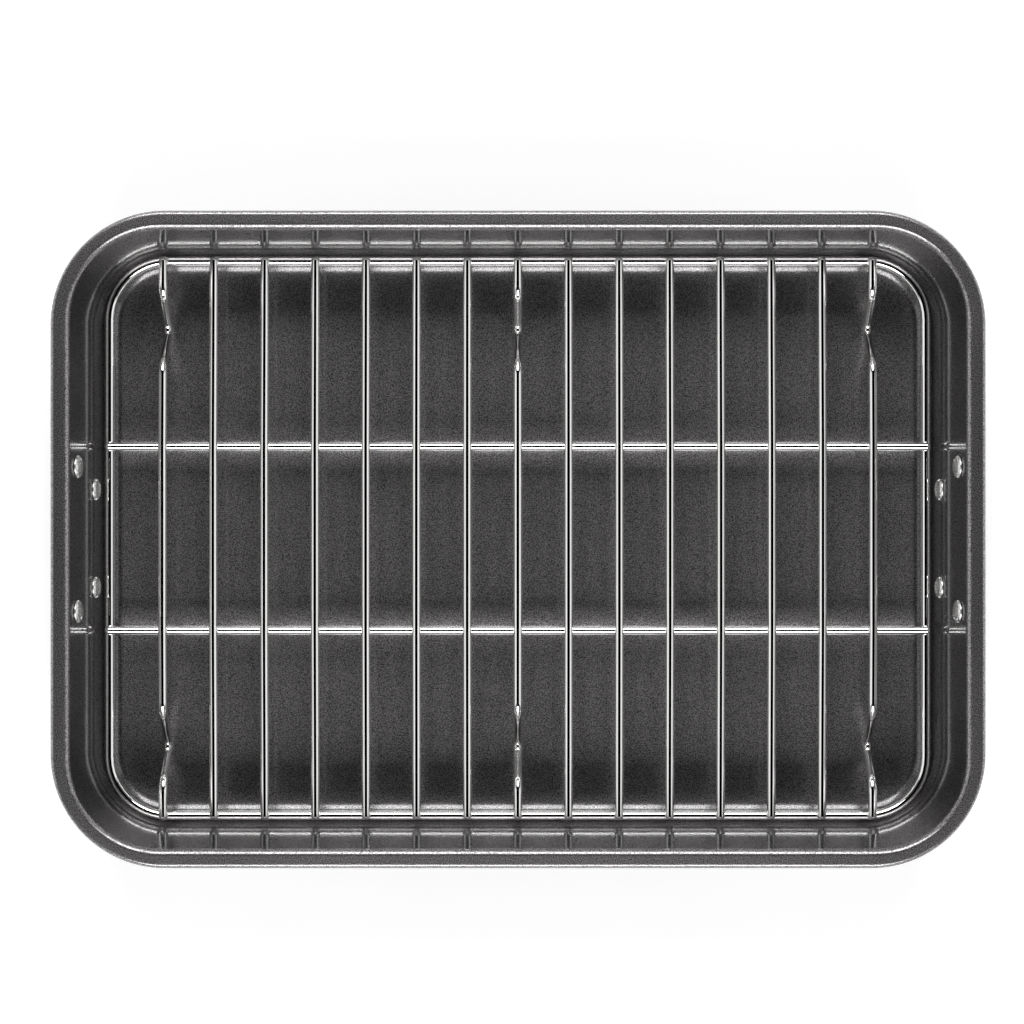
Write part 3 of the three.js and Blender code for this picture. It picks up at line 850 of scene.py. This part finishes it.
# White background paper: matt, with a faint cloudiness. To the eye and in mirrors it is lifted to
# white, more so further off, where the softboxes hardly reach.
cloud_size = 40 * mm
lit_reach = 0.6
far_reach = 2.5
paper, tree = new_material("white_background_paper")
place = node(tree, "ShaderNodeTexCoord").outputs["Object"]
ray = node(tree, "ShaderNodeLightPath").outputs
seen = node(tree, "ShaderNodeMath", {0: ray["Is Camera Ray"], 1: ray["Is Glossy Ray"]}, operation="MAXIMUM")
seen_at_all = node(
    tree, "ShaderNodeMath", {0: seen.outputs[0], 1: ray["Is Transmission Ray"]}, operation="MAXIMUM"
)
away = node(tree, "ShaderNodeVectorMath", {0: place}, operation="LENGTH").outputs["Value"]
glow = node(
    tree,
    "ShaderNodeMapRange",
    {"Value": away, "From Min": lit_reach, "From Max": far_reach, "To Min": 0.3, "To Max": 1.0},
).outputs["Result"]
lift = node(tree, "ShaderNodeMath", {0: seen_at_all.outputs[0], 1: glow}, operation="MULTIPLY")
cloud = node(tree, "ShaderNodeTexNoise", {"Vector": place, "Scale": 1 / cloud_size}).outputs["Fac"]
tint = node(tree, "ShaderNodeMix", {0: cloud, 6: srgb("#f4f4f4"), 7: srgb("#f7f7f7")}, data_type="RGBA")
white = node(
    tree,
    "ShaderNodeBsdfPrincipled",
    {
        "Base Color": tint.outputs[2],
        "Roughness": 0.9,
        "Specular IOR Level": 0.0,
        "Emission Color": (1, 1, 1, 1),
        "Emission Strength": lift.outputs[0],
    },
)
node(tree, "ShaderNodeOutputMaterial", {"Surface": white.outputs["BSDF"]})
floor_mesh.materials.append(paper)

roof_half_x = math.radians(36)
roof_half_y = math.radians(28)
strip_narrowness = 2.2
strip_level = 0.95
cloth_level = 0.1
skirt_full = 0.33
skirt_top = 0.45
world = bpy.data.worlds.new("studio_tent")
bpy.context.scene.world = world
world.use_nodes = True
tree = world.node_tree
tree.nodes.clear()
toward = node(tree, "ShaderNodeTexCoord").outputs["Generated"]
opening = (1 / math.sin(roof_half_x), 1 / math.sin(roof_half_y), 0)
in_roof = node(tree, "ShaderNodeVectorMath", {0: toward, 1: opening}, operation="MULTIPLY").outputs[0]
from_roof = node(tree, "ShaderNodeVectorMath", {0: in_roof}, operation="LENGTH").outputs["Value"]
past_roof = node(
    tree, "ShaderNodeMapRange", {"Value": from_roof, "From Min": 0.985, "From Max": 1.015}
).outputs["Result"]
axes = node(tree, "ShaderNodeSeparateXYZ", {0: toward}).outputs
across = node(tree, "ShaderNodeMath", {0: axes["X"]}, operation="ABSOLUTE").outputs[0]
along = node(tree, "ShaderNodeMath", {0: axes["Y"]}, operation="ABSOLUTE").outputs[0]
endways = node(
    tree, "ShaderNodeMath", {0: along, 1: -strip_narrowness, 2: across}, operation="MULTIPLY_ADD"
).outputs[0]
strip = node(
    tree,
    "ShaderNodeMapRange",
    {
        "Value": endways,
        "From Min": 0.0,
        "From Max": 0.25,
        "To Min": cloth_level,
        "To Max": strip_level,
    },
).outputs["Result"]
skirt = node(
    tree,
    "ShaderNodeMapRange",
    {"Value": axes["Z"], "From Min": skirt_full, "From Max": skirt_top, "To Min": 1.0, "To Max": 0.0},
).outputs["Result"]
cloth = node(tree, "ShaderNodeMath", {0: strip, 1: skirt}, operation="MAXIMUM").outputs[0]
tent_level = node(tree, "ShaderNodeMath", {0: past_roof, 1: cloth}, operation="MULTIPLY").outputs[0]
tent = node(tree, "ShaderNodeBackground", {"Color": (1, 1, 1, 1), "Strength": tent_level})
node(tree, "ShaderNodeOutputWorld", {"Surface": tent.outputs[0]})

softbox_length = 1.35
softbox_height = 0.88
softbox_away = 2.0
softbox_tilt = math.radians(40.5)
softbox_radiance = 6.5
for side in (-1, 1):
    lamp = bpy.data.lights.new("overhead_softbox", "AREA")
    lamp.shape = "RECTANGLE"
    lamp.size = softbox_length
    lamp.size_y = softbox_height
    lamp.energy = softbox_radiance * math.pi * softbox_length * softbox_height
    softbox = bpy.data.objects.new("overhead_softbox", lamp)
    bpy.context.scene.collection.objects.link(softbox)
    out, up = softbox_away * math.sin(softbox_tilt), softbox_away * math.cos(softbox_tilt)
    softbox.location = (0, side * out, up)
    to_pan = Vector((0, 0, pan_height)) - softbox.location
    softbox.rotation_euler = to_pan.to_track_quat("-Z", "Y").to_euler()

camera_height = 1270 * mm
camera_aside = (-2.8 * mm, 12.7 * mm)
camera_data = bpy.data.cameras.new("overhead_camera")
camera_data.sensor_width = 36
camera_data.lens = 91.16
camera = bpy.data.objects.new("overhead_camera", camera_data)
bpy.context.scene.collection.objects.link(camera)
camera.location = (*camera_aside, camera_height)
bpy.context.scene.camera = camera
bpy.context.scene.view_settings.view_transform = "Standard"
